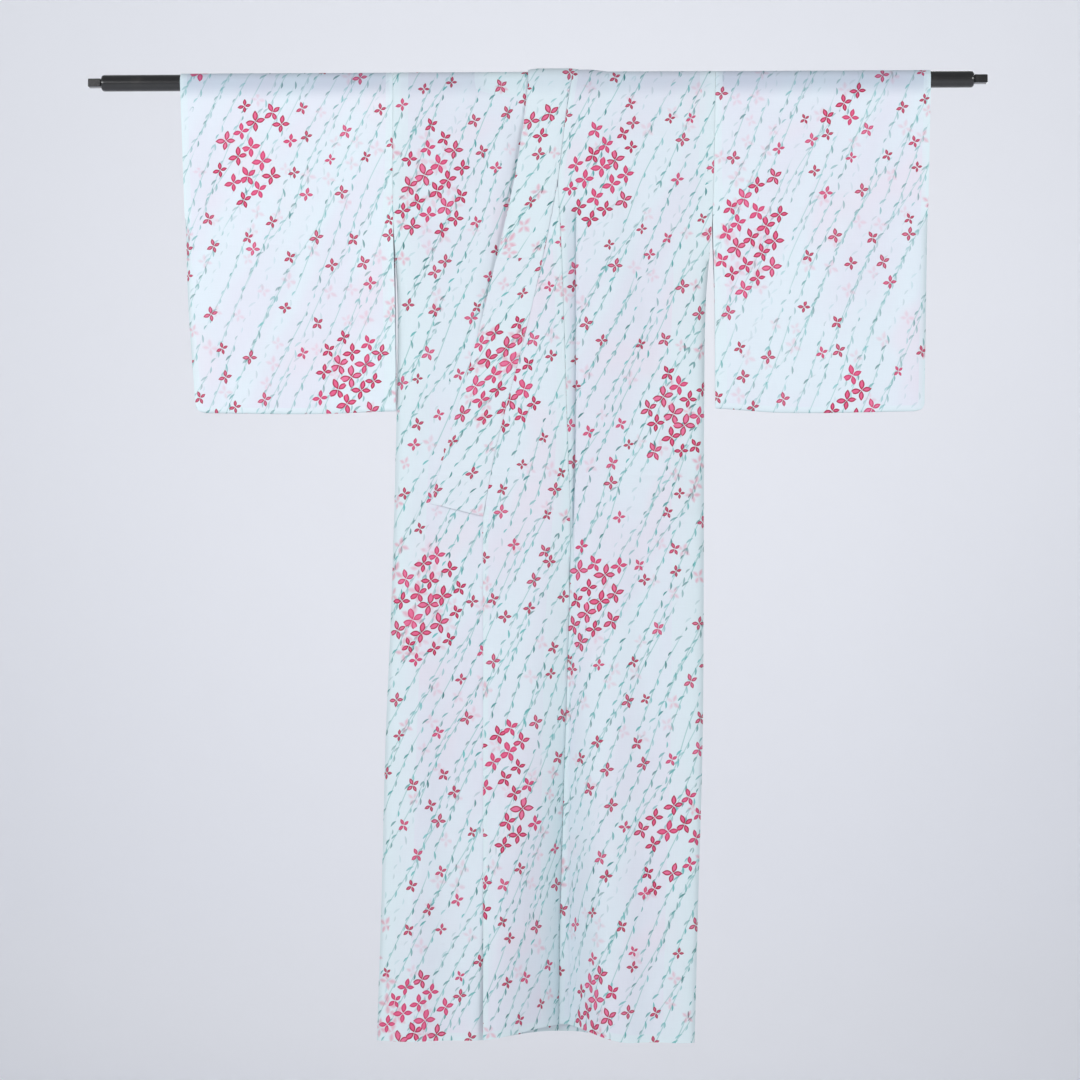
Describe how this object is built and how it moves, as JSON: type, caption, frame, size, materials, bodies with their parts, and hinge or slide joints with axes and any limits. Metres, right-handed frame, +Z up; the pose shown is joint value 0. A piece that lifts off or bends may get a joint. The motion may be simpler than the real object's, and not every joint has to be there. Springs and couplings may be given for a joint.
{
  "type": "linen kimono on a kimono rod",
  "caption": "Unlined linen kimono hung open-sleeved on a straight lacquered rod, left front over right front, with collar, overlap panels and square-ended sleeves.",
  "frame": {"origin": "middle of the rod's length, on its axis", "axes": "+X along the rod to the viewer's right, which is the wearer's left; +Y from the garment's front to its back; +Z up"},
  "size_m": [1.5266, 0.1232, 1.6389],
  "materials": {
    "linen": "matt printed linen",
    "lacquer": "black gloss lacquer"
  },
  "bodies": {
    "root": {"front_left_upper": "linen", "front_left_waist": "linen", "front_left_skirt": "linen", "front_left_hem": "linen", "front_right_upper": "linen", "front_right_waist": "linen", "front_right_skirt": "linen", "front_right_hem": "linen", "back_left_upper": "linen", "back_left_waist": "linen", "back_left_skirt": "linen", "back_left_hem": "linen", "back_right_upper": "linen", "back_right_waist": "linen", "back_right_skirt": "linen", "back_right_hem": "linen", "overlap_left_waist": "linen", "overlap_left_skirt": "linen", "overlap_left_hem": "linen", "overlap_right_waist": "linen", "overlap_right_skirt": "linen", "overlap_right_hem": "linen", "sleeve_left_front": "linen", "sleeve_left_back": "linen", "sleeve_right_front": "linen", "sleeve_right_back": "linen", "collar_left_upper": "linen", "collar_left_lower": "linen", "collar_right_upper": "linen", "collar_right_lower": "linen", "collar_neck": "linen", "over_collar": "linen", "rod": "lacquer", "peg_left": "lacquer", "peg_right": "lacquer"}
  },
  "joints": []
}
